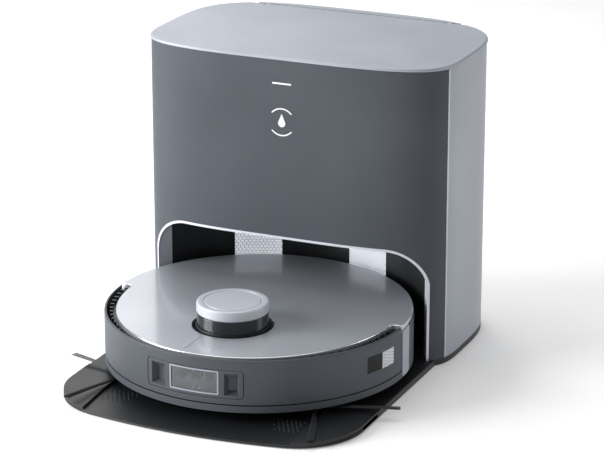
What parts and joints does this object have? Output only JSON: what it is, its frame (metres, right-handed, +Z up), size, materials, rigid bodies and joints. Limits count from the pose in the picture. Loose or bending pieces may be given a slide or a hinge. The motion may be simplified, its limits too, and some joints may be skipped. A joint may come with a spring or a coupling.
{
  "type": "robot vacuum with docking station",
  "caption": "Round robot vacuum with a laser turret and mop pads, parked in an upright washing and charging station with lidded water tanks.",
  "frame": {"origin": "centre of the bounding box at floor level", "axes": "+X to the right, +Y to the station's back, +Z up; the robot faces and leaves along -Y"},
  "size_m": [0.4218, 0.52, 0.366],
  "materials": {
    "silver_plastic": "satin silver paint on moulded plastic",
    "front_grey": "satin dark grey moulding",
    "trim_silver": "bright satin moulding",
    "black_plastic": "matte black moulding",
    "dark_plastic": "matte dark moulding",
    "reflective_patch": "retroreflective film",
    "cover_metal": "brushed and anodised",
    "bumper_grey": "satin dark grey moulding",
    "smoked_window": "smoked clear plastic",
    "rubber": "matte",
    "steel": "ground",
    "contact_brass": "plated contact",
    "tank_clear": "translucent moulding",
    "board_green": "circuit board",
    "mop_cloth": "looped microfibre",
    "light_white": "light guide"
  },
  "bodies": {
    "station": {"base_tray": "black_plastic", "station_feet": "rubber", "wash_basin": "black_plastic", "front_panel": "front_grey", "rear_shell": "silver_plastic", "arch_trim": "trim_silver", "bay_liner": "black_plastic", "dock_markers": "reflective_patch", "hinge_pin": "steel", "mains_inlet": "black_plastic", "emblem": "light_white", "status_light": "light_white", "tank_deck": "black_plastic", "power_board": "board_green", "pump_pair": "dark_plastic", "dryer_fan": "dark_plastic"},
    "station_lid": {"station_lid": "silver_plastic"},
    "clean_tank": {"clean_tank": "tank_clear", "clean_tank_cap": "tank_clear"},
    "waste_tank": {"waste_tank": "tank_clear", "waste_tank_cap": "tank_clear"},
    "charge_plungers": {"charge_plungers": "contact_brass"},
    "robot": {"chassis": "dark_plastic", "upper_deck": "dark_plastic", "side_wall": "dark_plastic", "side_pillars": "silver_plastic", "turret_base": "dark_plastic", "turret_window": "smoked_window", "brush_housing": "dark_plastic", "side_brush_motors": "dark_plastic", "mop_gearbox": "dark_plastic", "fan_unit": "dark_plastic", "battery": "dark_plastic", "main_board": "board_green", "robot_screws": "steel", "charge_plates": "contact_brass"},
    "robot_cover": {"top_cover": "cover_metal"},
    "start_button": {"start_button": "cover_metal"},
    "bumper": {"bumper": "bumper_grey", "camera_bezel": "bumper_grey", "camera_window": "smoked_window", "camera_module": "dark_plastic", "side_window": "black_plastic", "side_marker": "reflective_patch"},
    "turret_cap": {"turret_cap": "trim_silver"},
    "lidar_rotor": {"lidar_rotor": "dark_plastic"},
    "dust_bin": {"dust_bin": "dark_plastic"},
    "main_brush": {"main_brush": "rubber"},
    "side_brush_left": {"side_brush_left": "dark_plastic"},
    "side_brush_right": {"side_brush_right": "dark_plastic"},
    "wheel_arm_left": {"wheel_arm_left": "dark_plastic"},
    "wheel_arm_right": {"wheel_arm_right": "dark_plastic"},
    "drive_wheel_left": {"drive_wheel_left": "rubber"},
    "drive_wheel_right": {"drive_wheel_right": "rubber"},
    "caster_fork": {"caster_fork": "dark_plastic"},
    "caster_wheel": {"caster_wheel": "rubber"},
    "mop_left": {"mop_disc_left": "dark_plastic", "mop_pad_left": "mop_cloth"},
    "mop_right": {"mop_disc_right": "dark_plastic", "mop_pad_right": "mop_cloth"}
  },
  "joints": [
    {"name": "dock_travel", "type": "slide", "parent": "station", "child": "robot", "axis": [0, -1, 0], "range_m": [0, 0.42]},
    {"name": "lid_hinge", "type": "hinge", "parent": "station", "child": "station_lid", "pos_m": [0, 0.243, 0.36155], "axis": [-1, 0, 0], "range_deg": [0, 78]},
    {"name": "clean_tank_lift", "type": "slide", "parent": "station", "child": "clean_tank", "axis": [0, 0, 1], "range_m": [0, 0.016]},
    {"name": "waste_tank_lift", "type": "slide", "parent": "station", "child": "waste_tank", "axis": [0, 0, 1], "range_m": [0, 0.016]},
    {"name": "charge_plunger_press", "type": "slide", "parent": "station", "child": "charge_plungers", "axis": [0, 1, 0], "range_m": [0, 0.002], "stiffness_N_per_m": 300, "springref_m": -0.001},
    {"name": "cover_lift", "type": "slide", "parent": "robot", "child": "robot_cover", "axis": [0, 0, 1], "range_m": [0, 0.045]},
    {"name": "start_button_press", "type": "slide", "parent": "robot", "child": "start_button", "axis": [0, 0, -1], "range_m": [0, 0.0008], "stiffness_N_per_m": 400, "springref_m": -0.0006},
    {"name": "bumper_press", "type": "slide", "parent": "robot", "child": "bumper", "axis": [0, 1, 0], "range_m": [0, 0.003], "stiffness_N_per_m": 600, "springref_m": -0.0015},
    {"name": "turret_cap_press", "type": "slide", "parent": "robot", "child": "turret_cap", "axis": [0, 0, -1], "range_m": [0, 0.001], "stiffness_N_per_m": 1500, "springref_m": -0.0006},
    {"name": "lidar_spin", "type": "hinge", "parent": "robot", "child": "lidar_rotor", "pos_m": [0, -0.1194, 0.0833], "axis": [0, 0, 1], "continuous": true},
    {"name": "dust_bin_lift", "type": "slide", "parent": "robot", "child": "dust_bin", "axis": [0, 0, 1], "range_m": [0, 0.006]},
    {"name": "main_brush_spin", "type": "hinge", "parent": "robot", "child": "main_brush", "pos_m": [0, -0.0504, 0.0313], "axis": [1, 0, 0], "continuous": true},
    {"name": "side_brush_spin_right", "type": "hinge", "parent": "robot", "child": "side_brush_right", "pos_m": [0.118, -0.1546, 0.0143], "axis": [0, 0, 1], "continuous": true},
    {"name": "wheel_arm_swing_right", "type": "hinge", "parent": "robot", "child": "wheel_arm_right", "pos_m": [0.092, 0.0026, 0.0463], "axis": [-1, 0, 0], "range_deg": [0, 6], "stiffness_Nm_per_rad": 2, "springref_deg": -17.19},
    {"name": "drive_wheel_spin_right", "type": "hinge", "parent": "wheel_arm_right", "child": "drive_wheel_right", "pos_m": [0.111, -0.0354, 0.0413], "axis": [1, 0, 0], "continuous": true},
    {"name": "mop_spin_right", "type": "hinge", "parent": "robot", "child": "mop_right", "pos_m": [0.061, 0.0476, 0.0133], "axis": [0, 0, 1], "continuous": true},
    {"name": "side_brush_spin_left", "type": "hinge", "parent": "robot", "child": "side_brush_left", "pos_m": [-0.118, -0.1546, 0.0143], "axis": [0, 0, 1], "continuous": true},
    {"name": "wheel_arm_swing_left", "type": "hinge", "parent": "robot", "child": "wheel_arm_left", "pos_m": [-0.092, 0.0026, 0.0463], "axis": [-1, 0, 0], "range_deg": [0, 6], "stiffness_Nm_per_rad": 2, "springref_deg": -17.19},
    {"name": "drive_wheel_spin_left", "type": "hinge", "parent": "wheel_arm_left", "child": "drive_wheel_left", "pos_m": [-0.111, -0.0354, 0.0413], "axis": [1, 0, 0], "continuous": true},
    {"name": "mop_spin_left", "type": "hinge", "parent": "robot", "child": "mop_left", "pos_m": [-0.061, 0.0476, 0.0133], "axis": [0, 0, 1], "continuous": true},
    {"name": "caster_swivel", "type": "hinge", "parent": "robot", "child": "caster_fork", "pos_m": [0, -0.1774, 0.0283], "axis": [0, 0, 1], "continuous": true},
    {"name": "caster_roll", "type": "hinge", "parent": "caster_fork", "child": "caster_wheel", "pos_m": [0, -0.1734, 0.0173], "axis": [1, 0, 0], "continuous": true}
  ],
  "couplings": [
    {"joint": "mop_spin_left", "follows": "mop_spin_right", "ratio": -1}
  ]
}
